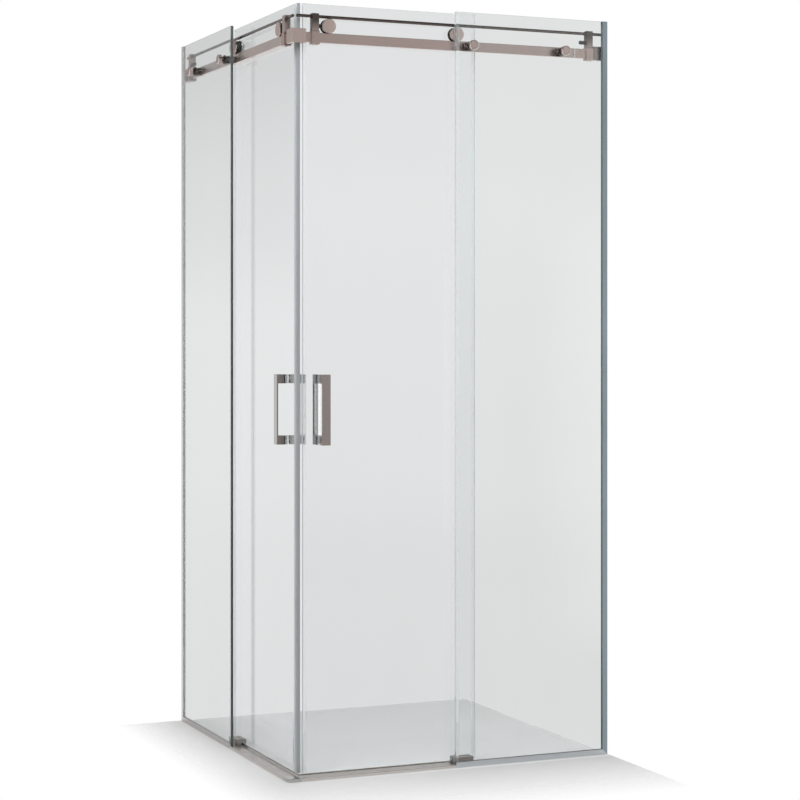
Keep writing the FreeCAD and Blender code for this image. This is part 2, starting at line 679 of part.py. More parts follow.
def roller_bushes():
    return [ring_inward(u, DOOR_D0, DOOR_D1, WHEEL_Z, BUSH_R, AXLE_R + THREAD_GAP) for u in ROLLERS_U]


def roller_nuts():
    nuts = []
    d0 = DOOR_D1 + PAD_T
    for u in ROLLERS_U:
        nut = bar_inward(u, d0, d0 + NUT_T, WHEEL_Z, NUT_R)
        nuts.append(nut.cut(bar_inward(u, d0, d0 + NUT_T / 2 + FIT, WHEEL_Z, AXLE_R + THREAD_GAP)))
    return nuts


def front_wheel():
    return wheel(ROLLERS_U[0])


def rear_wheel():
    return wheel(ROLLERS_U[1])


def mirrored(shape):
    return shape.mirror(Vector(0, 0, 0), Vector(1, -1, 0))


def solids_of(made):
    return made if isinstance(made, list) else [made]


def save(node, solids):
    whole = solids[0] if len(solids) == 1 else Part.makeCompound(solids)
    placed = whole.copy()
    placed.translate(Vector(-ORIGIN, -ORIGIN, 0))
    placed.exportStep("parts/" + node + ".step")


# Pieces that keep a node for each side
BY_SIDE = [
    wall_profile, floor_profile, fixed_glass, panel_seal, rail, guard_rod, threshold,
    door_glass, handle_plates, handle_posts, handle_bolts, glass_pads, corner_seal, magnet_strip,
    trailing_seal, bottom_seal, front_wheel, rear_wheel, roller_bearings, roller_axles, roller_caps,
    roller_bushes, roller_nuts,
]  # fmt: skip

# Like pieces of both sides that share one node
SHARED = {
    "glazing_seals": glazing_seal,
    "rail_end_pieces": rail_end_piece,
    "wall_sockets": wall_socket,
    "rod_brackets": rod_brackets,
    "stop_bumpers": stop_bumpers,
    "set_screws": set_screws,
    "clamp_caps": clamp_caps,
    "clamp_bolts": clamp_bolts,
    "clamp_washers": clamp_washers,
    "clamp_spacers": clamp_spacers,
    "bottom_guides": bottom_guide,
    "guide_screws": guide_screws,
}

os.makedirs("parts", exist_ok=True)
for make in BY_SIDE:
    right = solids_of(make())
    save("right_" + make.__name__, right)
    save("left_" + make.__name__, [mirrored(solid) for solid in right])
for node, make in SHARED.items():
    right = solids_of(make())
    save(node, right + [mirrored(solid) for solid in right])
save("corner_connector", [corner_connector()])
save("threshold_corner", [threshold_corner()])
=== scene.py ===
import json
from math import atan2, cos, pi, radians

import bmesh
import bpy
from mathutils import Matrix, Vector

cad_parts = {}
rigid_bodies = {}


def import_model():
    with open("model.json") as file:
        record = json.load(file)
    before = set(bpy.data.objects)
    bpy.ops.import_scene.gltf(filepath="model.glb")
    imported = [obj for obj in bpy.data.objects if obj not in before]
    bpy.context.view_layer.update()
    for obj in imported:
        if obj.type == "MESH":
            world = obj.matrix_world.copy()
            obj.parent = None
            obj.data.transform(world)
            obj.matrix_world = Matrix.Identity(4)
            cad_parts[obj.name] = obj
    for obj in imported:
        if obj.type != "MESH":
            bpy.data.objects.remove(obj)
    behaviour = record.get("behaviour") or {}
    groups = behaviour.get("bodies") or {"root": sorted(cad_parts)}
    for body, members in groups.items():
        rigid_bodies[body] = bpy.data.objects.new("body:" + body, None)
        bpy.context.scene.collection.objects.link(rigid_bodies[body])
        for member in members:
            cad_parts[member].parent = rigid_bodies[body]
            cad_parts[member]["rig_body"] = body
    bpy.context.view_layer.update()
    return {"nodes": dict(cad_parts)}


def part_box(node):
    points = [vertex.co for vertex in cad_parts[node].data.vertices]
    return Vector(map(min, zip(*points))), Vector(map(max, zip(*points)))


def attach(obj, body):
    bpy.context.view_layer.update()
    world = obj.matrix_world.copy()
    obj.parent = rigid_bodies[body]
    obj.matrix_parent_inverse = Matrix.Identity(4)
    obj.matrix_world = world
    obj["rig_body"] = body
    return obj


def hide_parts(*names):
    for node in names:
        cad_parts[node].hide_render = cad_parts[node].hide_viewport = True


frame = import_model()


# Wall channels
# Extruded aluminium channels with a satin anodised skin, cut to length and mitred at the foot. Screws through
# their webs hold them upright, and each takes the far edge of a fixed pane.
SIDES = ("right", "left")
MM = 0.001
CHANNEL_EASE = 0.4 * MM
# One anodised skin, coloured dark blue-grey on the right channel and near white on the left: painted shade
# and painted light.
CHANNEL_GREY_PAINTED_BY_SIDE = {"right": (0.34, 0.43, 0.47, 1), "left": (0.86, 0.84, 0.84, 1)}
CHANNEL_ROUGH = 0.34
LINE, ALONG = 3000, 12
GRAIN = {"X": (ALONG, LINE, LINE), "Y": (LINE, ALONG, LINE), "Z": (LINE, LINE, ALONG)}
CLOUD = (5, 5, 5)
LINE_DEPTH = 0.01 * MM
SPECK_DEPTH = 0.001 * MM
LINE_DARK, LINE_LIGHT = 0.93, 1.05
GLOSS_SPREAD = 0.12
NOISE_DETAIL = 3
NOISE_LOW, NOISE_HIGH = 0.3, 0.7
TOUCH = 0.001 * MM
FLAT_WITHIN = 0.5
SHARP_OVER = 35
CREASE_OVER = 40
FLAT_WEIGHT = 100


def round_off(bm, edges, width, steps):
    """Rounds edges off with a bevel."""
    bmesh.ops.bevel(
        bm, geom=edges, offset=width, segments=steps, profile=0.5, affect="EDGES", material=-1,
        clamp_overlap=True
    )


def ease(bm, width, steps=2):
    """Breaks every sharp edge, as deburring and polishing do."""
    sharp = [e for e in bm.edges if len(e.link_faces) == 2 and e.calc_face_angle() > radians(SHARP_OVER)]
    round_off(bm, sharp, width, steps)


def as_cut(node):
    """A copy of a CAD node's mesh, merged into clean flat faces."""
    bm = bmesh.new()
    bm.from_mesh(frame["nodes"][node].data)
    bmesh.ops.remove_doubles(bm, verts=bm.verts, dist=TOUCH)
    bmesh.ops.dissolve_limit(bm, angle_limit=radians(FLAT_WITHIN), verts=bm.verts, edges=bm.edges)
    return bm


def eased(node, width):
    """A piece as it was cut or moulded, with its edges eased."""
    bm = as_cut(node)
    ease(bm, width)
    return bm


def fit(bm, name, node, *finishes):
    """Puts a finished piece where its CAD node is, on that node's body and with its material slot."""
    mesh = bpy.data.meshes.new(name)
    bm.to_mesh(mesh)
    bm.free()
    mesh.shade_smooth()
    mesh.set_sharp_from_angle(angle=radians(CREASE_OVER))
    for finish in finishes:
        mesh.materials.append(finish)
    piece = bpy.data.objects.new(name, mesh)
    bpy.context.scene.collection.objects.link(piece)
    flat = piece.modifiers.new("flat_faces", "WEIGHTED_NORMAL")
    flat.weight = FLAT_WEIGHT
    flat.keep_sharp = True
    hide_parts(node)
    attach(piece, frame["nodes"][node]["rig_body"])


def fit_eased(node, width, name, *finishes):
    """Fits a piece whose shape needs no more than eased edges."""
    fit(eased(node, width), name, node, *finishes)


def new_finish(name):
    """A fresh material, with its tree and its Principled shader."""
    material = bpy.data.materials.new(name)
    material.use_nodes = True
    return material, material.node_tree, material.node_tree.nodes["Principled BSDF"]


def drawn_noise(tree, scale):
    """Noise on object coordinates. Its scale differs by axis, so that it can be drawn out into lines."""
    where = tree.nodes.new("ShaderNodeTexCoord")
    drawn = tree.nodes.new("ShaderNodeMapping")
    drawn.inputs["Scale"].default_value = scale
    noise = tree.nodes.new("ShaderNodeTexNoise")
    noise.inputs["Scale"].default_value = 1.0
    noise.inputs["Detail"].default_value = NOISE_DETAIL
    tree.links.new(where.outputs["Object"], drawn.inputs["Vector"])
    tree.links.new(drawn.outputs["Vector"], noise.inputs["Vector"])
    return noise.outputs["Fac"]


def worked(tree, operation, *values):
    """One step of arithmetic on sockets or numbers."""
    node = tree.nodes.new("ShaderNodeMath")
    node.operation = operation
    for slot, value in zip(node.inputs, values):
        if isinstance(value, (int, float)):
            slot.default_value = value
        else:
            tree.links.new(value, slot)
    return node.outputs["Value"]


def spread(tree, value, low, high):
    """Maps noise to a range of values."""
    span = tree.nodes.new("ShaderNodeMapRange")
    span.inputs["From Min"].default_value = NOISE_LOW
    span.inputs["From Max"].default_value = NOISE_HIGH
    span.inputs["To Min"].default_value = low
    span.inputs["To Max"].default_value = high
    tree.links.new(value, span.inputs["Value"])
    return span.outputs["Result"]


def shades(tree, value, colour, dark, light):
    """Maps noise to shades of a colour, from dark to light."""
    mix = tree.nodes.new("ShaderNodeMix")
    mix.data_type = "RGBA"
    mix.inputs["A"].default_value = [c * dark for c in colour[:3]] + [1]
    mix.inputs["B"].default_value = [c * light for c in colour[:3]] + [1]
    tree.links.new(spread(tree, value, 0.0, 1.0), mix.inputs["Factor"])
    return mix.outputs["Result"]


def dress(tree, shader, colour, rough, lines, depth):
    """Lets fine lines or pores give a surface its shades, gloss and relief. Broad marks vary the gloss."""
    swing = GLOSS_SPREAD * rough
    marks = spread(tree, drawn_noise(tree, CLOUD), -swing, swing)
    gloss = worked(tree, "ADD", spread(tree, lines, rough - swing, rough + swing), marks)
    bump = tree.nodes.new("ShaderNodeBump")
    bump.inputs["Distance"].default_value = depth
    tree.links.new(lines, bump.inputs["Height"])
    tree.links.new(bump.outputs["Normal"], shader.inputs["Normal"])
    tree.links.new(shades(tree, lines, colour, LINE_DARK, LINE_LIGHT), shader.inputs["Base Color"])
    tree.links.new(gloss, shader.inputs["Roughness"])


def metal(name, colour, rough, grain, depth=LINE_DEPTH):
    """Bare or anodised metal with a grain of fine lines, or of shallow specks where it was polished."""
    material, tree, shader = new_finish(name)
    shader.inputs["Metallic"].default_value = 1.0
    dress(tree, shader, colour, rough, drawn_noise(tree, grain), depth)
    return material


for side in SIDES:
    anodised = metal(side + "_anodised_upright_painted_light", CHANNEL_GREY_PAINTED_BY_SIDE[side], CHANNEL_ROUGH, GRAIN["Z"])
    fit_eased(side + "_wall_profile", CHANNEL_EASE, side + "_wall_channel", anodised)


# Floor channels
# The same kind of extrusion laid flat, mitred to the wall channel at its far end. It takes the bottom edge of
# a fixed pane.
# The same anodised skin, coloured differently on each side and differently from the upright channels: painted
# light and painted shade.
FLOOR_CHANNEL_GREY_PAINTED_BY_SIDE = {"right": (0.70, 0.735, 0.755, 1), "left": (0.66, 0.63, 0.62, 1)}
RUN = {"right": "X", "left": "Y"}
for side in SIDES:
    anodised = metal(side + "_anodised_flat_painted_light", FLOOR_CHANNEL_GREY_PAINTED_BY_SIDE[side], CHANNEL_ROUGH, GRAIN[RUN[side]])
    fit_eased(side + "_floor_profile", CHANNEL_EASE, side + "_floor_channel", anodised)


# Fixed panes
# Toughened float glass, drilled for the rail clamps, with its edges ground and arrissed. It stands in a
# gasket that is pressed into the channels, and a soft clear strip on its free edge wipes past the door.
AWAY = {"right": Vector((1, 0, 0)), "left": Vector((0, 1, 0))}
ARRIS = 0.8 * MM
HOLE_INSET = 2 * ARRIS
FACE_ON = 0.9
CLEAR_IOR = 1.5
# The fixed panes are the same glass as the doors. Their faint green is the glass's own, and their slightly
# deeper tint is painted shade.
FIXED_TINT_WITH_PAINTED_SHADE = (0.955, 0.972, 0.970, 1)
GLASS_SHADOW = (0.82, 0.83, 0.83, 1)
WIPED = (6, 6, 1.2)
WIPE_DARK = 0.988
EDGE_ROUGH = 0.2
PALE_EDGE = (0.90, 0.97, 0.96, 1)
PALE_EDGE_BODY = 0.85
# The free edges are green, the glass's own edge colour. The left one is drawn nearly black and opaque, and
# the right one pale and mostly clear: painted shade and painted light.
FREE_EDGE_PAINTED_BY_SIDE = {"right": (0.15, 0.24, 0.25, 1), "left": (0.05, 0.065, 0.06, 1)}
FREE_EDGE_BODY_PAINTED_BY_SIDE = {"right": 0.22, "left": 0.9}
STRIP_COLOUR = (0.72, 0.80, 0.82, 1)
STRIP_ROUGH = 0.12
STRIP_BODY = 0.05
STRIP_EASE = 0.2 * MM
HAZE = (60, 60, 8)
HAZE_DARK = 0.9
HAZE_SPREAD = 0.3
# The gasket is one dark rubber. On the left it is drawn light, to cover the shade inside the channel: painted
# light.
GASKET_GREY_PAINTED_BY_SIDE = {"right": (0.25, 0.26, 0.25, 1), "left": (0.88, 0.88, 0.88, 1)}
GASKET_BODY_PAINTED_BY_SIDE = {"right": 0.85, "left": 0.6}


def see_through(tree, shader, share, tint):
    """Lets a share of what meets a surface go straight through it, with a tint."""
    clear = tree.nodes.new("ShaderNodeBsdfTransparent")
    clear.inputs["Color"].default_value = tint
    mix = tree.nodes.new("ShaderNodeMixShader")
    tree.links.new(share, mix.inputs["Fac"])
    tree.links.new(shader.outputs["BSDF"], mix.inputs[1])
    tree.links.new(clear.outputs["BSDF"], mix.inputs[2])
    tree.links.new(mix.outputs["Shader"], tree.nodes["Material Output"].inputs["Surface"])


def clear_glass(name, tint):
    """Tinted glass with faint wipe marks. Lamp light goes straight through and leaves a pale shadow."""
    material, tree, shader = new_finish(name)
    wiped = shades(tree, drawn_noise(tree, WIPED), tint, WIPE_DARK, 1.0)
    tree.links.new(wiped, shader.inputs["Base Color"])
    shader.inputs["Roughness"].default_value = 0.0
    shader.inputs["IOR"].default_value = CLEAR_IOR
    shader.inputs["Transmission Weight"].default_value = 1.0
    path = tree.nodes.new("ShaderNodeLightPath")
    see_through(tree, shader, path.outputs["Is Shadow Ray"], GLASS_SHADOW)
    return material


def pane(node):
    """A cut pane. Its edges and holes are ground and arrissed, and its two faces are left as floated."""
    bm = eased(node, ARRIS)
    low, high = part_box(node)
    across = min(range(3), key=lambda axis: high[axis] - low[axis])
    for face in bm.faces:
        face.material_index = 1 if abs(face.normal[across]) < FACE_ON else 0
    return bm


def side_of(place):
    """The side of the enclosure that a place is on: the diagonal through the front corner parts them."""
    return "right" if place.y < place.x else "left"


def clear_plastic(name, colour, rough, body):
    """Soft clear plastic: a thin, slightly cloudy film that hides little of what is behind it."""
    material, tree, shader = new_finish(name)
    haze = drawn_noise(tree, HAZE)
    swing = HAZE_SPREAD * rough
    shader.inputs["Alpha"].default_value = body
    shader.inputs["IOR"].default_value = CLEAR_IOR
    tree.links.new(shades(tree, haze, colour, HAZE_DARK, 1.0), shader.inputs["Base Color"])
    tree.links.new(spread(tree, haze, rough - swing, rough + swing), shader.inputs["Roughness"])
    return material


clear_strip = clear_plastic("clear_strip", STRIP_COLOUR, STRIP_ROUGH, STRIP_BODY)
pale_edge = clear_plastic("pale_ground_edge", PALE_EDGE, EDGE_ROUGH, PALE_EDGE_BODY)
for side in SIDES:
    fit_eased(side + "_panel_seal", STRIP_EASE, side + "_pane_edge_strip", clear_strip)
    node = side + "_fixed_glass"
    fixed_pane = pane(node)
    low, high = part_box(node)
    in_plane = ("XYZ".index(RUN[side]), 2)
    for face in fixed_pane.faces:
        place = face.calc_center_median()
        at_free_edge = (place - low).dot(AWAY[side]) < ARRIS
        to_border = min(min(place[axis] - low[axis], high[axis] - place[axis]) for axis in in_plane)
        in_hole = face.material_index == 1 and to_border > HOLE_INSET
        if at_free_edge or in_hole:
            face.material_index = 2
    fixed_glass = clear_glass(node, FIXED_TINT_WITH_PAINTED_SHADE)
    free_edge = clear_plastic(side + "_free_edge", FREE_EDGE_PAINTED_BY_SIDE[side], EDGE_ROUGH, FREE_EDGE_BODY_PAINTED_BY_SIDE[side])
    fit(fixed_pane, side + "_fixed_pane", node, fixed_glass, pale_edge, free_edge)
gaskets = as_cut("glazing_seals")
for face in gaskets.faces:
    face.material_index = SIDES.index(side_of(face.calc_center_median()))
rubbers = [
    clear_plastic(side + "_gasket", GASKET_GREY_PAINTED_BY_SIDE[side], STRIP_ROUGH, GASKET_BODY_PAINTED_BY_SIDE[side]) for side in SIDES
]
fit(gaskets, "pane_gaskets", "glazing_seals", *rubbers)


# Rails
# Flat bars of brushed metal that carry the doors. A short end piece with a bright collar plugs into each bar
# and into the socket at its far end. A square block joins the two bars at the front corner.
WARM_GREY = (0.56, 0.45, 0.415, 1)
# The left bar, which runs along Y, is coloured lighter than the same brushed metal along X: painted light.
BRUSHED_GREY_PAINTED_BY_RUN = {"X": WARM_GREY, "Y": (0.68, 0.575, 0.54, 1), "Z": WARM_GREY}
LIGHT_GREY = (0.69, 0.56, 0.515, 1)
SOCKET_BROWN = (0.36, 0.30, 0.277, 1)
SOCKET_PAINTED_SHADE = (0.05, 0.043, 0.04, 1)
SOCKET_SHADE_FADE = (28 * MM, 13 * MM)
BRUSHED_ROUGH = 0.25
CHROME = (0.80, 0.79, 0.78, 1)
CHROME_ROUGH = 0.07
FINE_SPECKS = (300, 300, 300)
RAIL_EASE = 0.3 * MM
BLOCK_EASE = 0.6 * MM
COLLAR = 4.5 * MM


def slice_at(bm, place, normal):
    """Cuts every face that crosses a plane, and keeps both parts."""
    geom = bm.verts[:] + bm.edges[:] + bm.faces[:]
    bmesh.ops.bisect_plane(bm, geom=geom, dist=TOUCH, plane_co=place, plane_no=normal)


def chosen(tree, factor, first, second, blend="MIX"):
    """One of two colours by a factor, or their blend."""
    mix = tree.nodes.new("ShaderNodeMix")
    mix.data_type = "RGBA"
    mix.blend_type = blend
    for name, value in (("Factor", factor), ("A", first), ("B", second)):
        if isinstance(value, (int, float, tuple)):
            mix.inputs[name].default_value = value
        else:
            tree.links.new(value, mix.inputs[name])
    return mix.outputs["Result"]


def coordinates(tree, space):
    """The three coordinates of a point, each as a socket of its own."""
    where = tree.nodes.new("ShaderNodeTexCoord")
    split = tree.nodes.new("ShaderNodeSeparateXYZ")
    tree.links.new(where.outputs[space], split.inputs["Vector"])
    return split.outputs


def grade(material, axis, start, end, colour):
    """Lets a finish go over into another colour along an axis, from a start to an end."""
    tree = material.node_tree
    skin = tree.nodes["Principled BSDF"].inputs["Base Color"]
    plain = skin.links[0].from_socket
    fade = tree.nodes.new("ShaderNodeMapRange")
    fade.inputs["From Min"].default_value = start
    fade.inputs["From Max"].default_value = end
    tree.links.new(coordinates(tree, "Object")[axis], fade.inputs["Value"])
    tree.links.new(chosen(tree, fade.outputs["Result"], plain, colour), skin)


chrome = metal("chrome", CHROME, CHROME_ROUGH, FINE_SPECKS, SPECK_DEPTH)
brushed = {
    run: metal("brushed_" + run.lower(), BRUSHED_GREY_PAINTED_BY_RUN[run], BRUSHED_ROUGH, GRAIN[run]) for run in GRAIN
}
ends = eased("rail_end_pieces", RAIL_EASE)
for side in SIDES:
    fit_eased(side + "_rail", RAIL_EASE, side + "_rail_bar", brushed[RUN[side]])
    slice_at(ends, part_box(side + "_rail")[1] + AWAY[side] * COLLAR, AWAY[side])
for face in ends.faces:
    middle = face.calc_center_median()
    side = side_of(middle)
    at_joint = (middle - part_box(side + "_rail")[1]).dot(AWAY[side]) < COLLAR
    face.material_index = 2 if at_joint else SIDES.index(side)
fit(ends, "rail_ends", "rail_end_pieces", brushed["X"], brushed["Y"], chrome)
# Near the right wall the socket is coloured darker, to nearly black: painted shade.
socket_brown = metal("brushed_socket_painted_shade", SOCKET_BROWN, BRUSHED_ROUGH, GRAIN["Z"])
shade_from, shade_to = (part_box("wall_sockets")[1].x - short for short in SOCKET_SHADE_FADE)
grade(socket_brown, "X", shade_from, shade_to, SOCKET_PAINTED_SHADE)
fit_eased("wall_sockets", BLOCK_EASE, "rail_wall_sockets", socket_brown)
light_brushed = metal("light_brushed", LIGHT_GREY, BRUSHED_ROUGH, GRAIN["Z"])
fit_eased("corner_connector", BLOCK_EASE, "rail_corner_block", light_brushed)


# Pane clamps
# A turned knob outside the glass is screwed on a stud that runs through the pane and a spacer tube into the
# rail. Clear pads keep metal off the glass.
INWARD = {"right": Vector((0, 1, 0)), "left": Vector((1, 0, 0))}
STEEL = (0.55, 0.54, 0.53, 1)
STEEL_ROUGH = 0.28
SPECKS = (400, 400, 400)
POLISHED_PAINTED_SHADE = (0.10, 0.082, 0.076, 1)
POLISHED_ROUGH = 0.14
TURNED_ROUGH = 0.24
RIM_PAINTED_HIGHLIGHT = (0.80, 0.74, 0.71, 1)
RIM_ROUGH = 0.1
TURNING = 4000
TURNING_DETAIL = 2
KNOB = [
    (0, 0.3), (9.6, 0.3), (10.0, 0), (13, 0), (13, 10), (8, 10), (8, 18), (12, 18), (12, 23), (4.05, 23),
    (4.05, 13), (0, 13)
]
KNOB_FRONT = (13, 0)
KNOB_HEAD = 9.9
KNOB_HIGHLIGHT_RIM = (10.8, 2.2)
KNOB_ROUND = 2 * MM
KNOB_EASE = 0.4 * MM
PAD_EASE = 0.1 * MM
ON_RING = 0.01
UPRIGHT_OVER = 0.5
TUBE = [(4.05, 0), (10, 0), (10, 2.8), (9.5, 3.1), (9.5, 3.9), (10, 4.2), (10, 7), (4.05, 7)]


def solids(node):
    """The lowest and highest corner of each solid of a CAD node."""
    bm = as_cut(node)
    boxes = []
    for start in bm.verts:
        if start.tag:
            continue
        start.tag = True
        front, places = [start], []
        while front:
            vert = front.pop()
            places.append(vert.co.copy())
            for edge in vert.link_edges:
                other = edge.other_vert(vert)
                if not other.tag:
                    other.tag = True
                    front.append(other)
        boxes.append((Vector(map(min, zip(*places))), Vector(map(max, zip(*places)))))
    bm.free()
    return boxes


def end_of(box, axis):
    """The middle of the end of a box from which an axis sets out."""
    low, high = box
    middle = (low + high) / 2
    return middle - axis * abs((high - low).dot(axis)) / 2


def square_to(axis):
    """A direction square to an axis: upwards, or sideways where the axis is upright itself."""
    return Vector((1, 0, 0)) if abs(axis.z) > UPRIGHT_OVER else Vector((0, 0, 1))


def turn(bm, profile, foot, axis, ring=False, steps=60):
    """Turns a profile on an axis. Each point of it is a radius and a distance along the axis in millimetres,
    and a ring's profile is closed."""
    across = square_to(axis)
    verts = [bm.verts.new(foot + (axis * along + across * radius) * MM) for radius, along in profile]
    pairs = list(zip(verts, verts[1:]))
    if ring:
        pairs.append((verts[-1], verts[0]))
    edges = [bm.edges.new(pair) for pair in pairs]
    bmesh.ops.spin(
        bm, geom=verts + edges, cent=foot, axis=axis, dvec=(0, 0, 0), angle=2 * pi, steps=steps,
        use_merge=True, use_duplicate=False
    )
    bmesh.ops.remove_doubles(bm, verts=bm.verts, dist=TOUCH)
    bmesh.ops.recalc_face_normals(bm, faces=bm.faces)


def from_axis(place, foot, axis):
    """How far a place is from an axis, and how far along it, in millimetres."""
    out = (place - foot) / MM
    along = out.dot(axis)
    return (out - axis * along).length, along


def round_ring(bm, place, foot, axis, width, steps=4):
    """Rounds the circular edge of a turned piece at a radius and a distance along its axis."""

    def on_ring(vert):
        radius, along = from_axis(vert.co, foot, axis)
        return abs(radius - place[0]) < ON_RING and abs(along - place[1]) < ON_RING

    edges = [e for e in bm.edges if on_ring(e.verts[0]) and on_ring(e.verts[1])]
    round_off(bm, edges, width, steps)


def mark_turning(bm, axes):
    """Marks how far each point is from the nearest turning axis, for the lines that the tool leaves."""
    radius = bm.verts.layers.float.new("from_axis")
    for vert in bm.verts:
        vert[radius] = min(from_axis(vert.co, foot, axis)[0] for foot, axis in axes) * MM


def turned_metal(name, colour, rough):
    """Metal with the fine rings of a lathe tool round its axis."""
    material, tree, shader = new_finish(name)
    shader.inputs["Metallic"].default_value = 1.0
    radius = tree.nodes.new("ShaderNodeAttribute")
    radius.attribute_name = "from_axis"
    rings = tree.nodes.new("ShaderNodeTexNoise")
    rings.noise_dimensions = "1D"
    rings.inputs["Scale"].default_value = TURNING
    rings.inputs["Detail"].default_value = TURNING_DETAIL
    tree.links.new(radius.outputs["Fac"], rings.inputs["W"])
    dress(tree, shader, colour, rough, rings.outputs["Fac"], LINE_DEPTH)
    return material


steel = metal("plain_steel", STEEL, STEEL_ROUGH, SPECKS)
# A near black polished metal stands in for shade and dark reflections: painted shade.
polished = metal("polished_painted_shade", POLISHED_PAINTED_SHADE, POLISHED_ROUGH, SPECKS, SPECK_DEPTH)
# The polished rims are coloured much lighter than the knob faces: a painted highlight.
rim_painted_highlight = metal("rim_painted_highlight", RIM_PAINTED_HIGHLIGHT, RIM_ROUGH, SPECKS, SPECK_DEPTH)
turned_satin = turned_metal("turned_satin", WARM_GREY, TURNED_ROUGH)
knobs = bmesh.new()
axes = []
for box in solids("clamp_caps"):
    inward = INWARD[side_of(box[0])]
    foot = end_of(box, inward)
    axes.append((foot, inward))
    turn(knobs, KNOB, foot, inward)
    round_ring(knobs, KNOB_FRONT, foot, inward, KNOB_ROUND)
ease(knobs, KNOB_EASE)
mark_turning(knobs, axes)
# Behind its head each knob takes the painted shade, and its front rim the painted highlight.
for face in knobs.faces:
    places = [from_axis(face.calc_center_median(), *axis) for axis in axes]
    radius, along = min(places, key=lambda place: place[0] + abs(place[1]))
    if along > KNOB_HEAD:
        face.material_index = 1
    elif radius > KNOB_HIGHLIGHT_RIM[0] and along < KNOB_HIGHLIGHT_RIM[1]:
        face.material_index = 2
fit(knobs, "clamp_knobs", "clamp_caps", turned_satin, polished, rim_painted_highlight)
tubes = bmesh.new()
for box in solids("clamp_spacers"):
    inward = INWARD[side_of(box[0])]
    turn(tubes, TUBE, end_of(box, inward), inward, ring=True)
ease(tubes, KNOB_EASE)
# The spacer tubes take the same painted shade.
fit(tubes, "clamp_tubes", "clamp_spacers", polished)
fit_eased("clamp_bolts", RAIL_EASE, "clamp_studs", steel)
fit_eased("clamp_washers", PAD_EASE, "clamp_pads", clear_strip)


# Guard rods and their brackets
# A polished rod over the rollers keeps them on the rail. Each bracket grips the rail with a brushed sleeve
# and holds the rod in a post. The posts are brushed on the left. On the right they are polished and coloured
# dark at the top, grading to grey at the sleeve: painted reflection. Set screws sit below and on top.
DOWN, UP = Vector((0, 0, -1)), Vector((0, 0, 1))
BRACKET_EASE = 0.5 * MM
SLEEVE_OVER = 3 * MM
ROD_R = 4
ROD_STEPS = 36
ROD_END = 0.8 * MM
ROD_BROWN = (0.14, 0.115, 0.106, 1)
POST_REFLECTION_GREY = (0.42, 0.345, 0.32, 1)
POST_REFLECTION_FADE = 28 * MM
SCREW_R = 2.5
SCREW_STEPS = 36
SCREW_EASE = 0.3 * MM
SOCKET = 1.3
SOCKET_DEEP = 1.2


def cut_hexagon(bm, foot, axis, radius):
    """Draws a round socket out into the hexagon of its key."""
    for vert in bm.verts:
        if abs(from_axis(vert.co, foot, axis)[0] - radius) > ON_RING:
            continue
        out = vert.co - foot
        flat = out - axis * out.dot(axis)
        sideways = axis.cross(square_to(axis))
        upright = axis.cross(sideways)
        angle = atan2(flat.dot(sideways), flat.dot(upright)) % (pi / 3) - pi / 6
        vert.co += flat * (cos(pi / 6) / cos(angle) - 1)


rod_brown = metal("polished_rod", ROD_BROWN, POLISHED_ROUGH, SPECKS, SPECK_DEPTH)
for side in SIDES:
    away = AWAY[side]
    low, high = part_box(side + "_guard_rod")
    foot = end_of((low, high), away)
    length = (high - low).dot(away) / MM
    rod = bmesh.new()
    turn(rod, [(0, 0), (ROD_R, 0), (ROD_R, length), (0, length)], foot, away, steps=ROD_STEPS)
    ease(rod, ROD_END, steps=4)
    fit(rod, side + "_rod", side + "_guard_rod", rod_brown)
brackets = eased("rod_brackets", BRACKET_EASE)
sleeve_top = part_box("right_rail")[1].z + SLEEVE_OVER
# Above the sleeve the right posts take the painted reflection, and the rest is brushed.
for face in brackets.faces:
    middle = face.calc_center_median()
    face.material_index = 1 if middle.z < sleeve_top or side_of(middle) == "left" else 0
# Dark at the top of the post, going over into grey at the sleeve: painted reflection.
post_painted_reflection = metal("post_painted_reflection", POLISHED_PAINTED_SHADE, POLISHED_ROUGH, SPECKS, SPECK_DEPTH)
grade(post_painted_reflection, "Z", sleeve_top + POST_REFLECTION_FADE, sleeve_top, POST_REFLECTION_GREY)
fit(brackets, "rod_holders", "rod_brackets", post_painted_reflection, brushed["Z"])
screws = bmesh.new()
for box in solids("set_screws"):
    axis = DOWN if box[0].z > sleeve_top else UP
    length = (box[1].z - box[0].z) / MM
    foot = end_of(box, axis)
    screw = bmesh.new()
    head = [(0, SOCKET_DEEP), (SOCKET, SOCKET_DEEP), (SOCKET, 0), (SCREW_R, 0)]
    turn(screw, head + [(SCREW_R, length), (0, length)], foot, axis, steps=SCREW_STEPS)
    cut_hexagon(screw, foot, axis, SOCKET)
    round_ring(screw, (SCREW_R, 0), foot, axis, SCREW_EASE, steps=2)
    round_ring(screw, (SCREW_R, length), foot, axis, SCREW_EASE, steps=2)
    loose = bpy.data.meshes.new("screw")
    screw.to_mesh(loose)
    screw.free()
    screws.from_mesh(loose)
    bpy.data.meshes.remove(loose)
fit(screws, "grub_screws", "set_screws", steel)


# Bumpers
# Rubber buttons that a roller runs up to at each end of its travel. A stud on each is pushed into a hole in
# the bracket's post.
RUBBER_BLACK = (0.02, 0.02, 0.02, 1)
RUBBER_ROUGH = 0.6
PORES = (900, 900, 900)
PORE_DEPTH = 0.02 * MM
BUMPER_R = 5
STUD_R = 2
STUD = 5
WAIST_R = 4.2
WAIST = [(BUMPER_R, 3), (WAIST_R, 2.4), (WAIST_R, 1.6), (BUMPER_R, 1)]
BUMPER_STEPS = 48
BUMPER_NOSE = 1.6 * MM
BUMPER_EASE = 0.3 * MM


def plastic(name, colour, rough, grain):
    """Moulded plastic or rubber, with fine pores or a drawn grain."""
    material, tree, shader = new_finish(name)
    dress(tree, shader, colour, rough, drawn_noise(tree, grain), PORE_DEPTH)
    return material


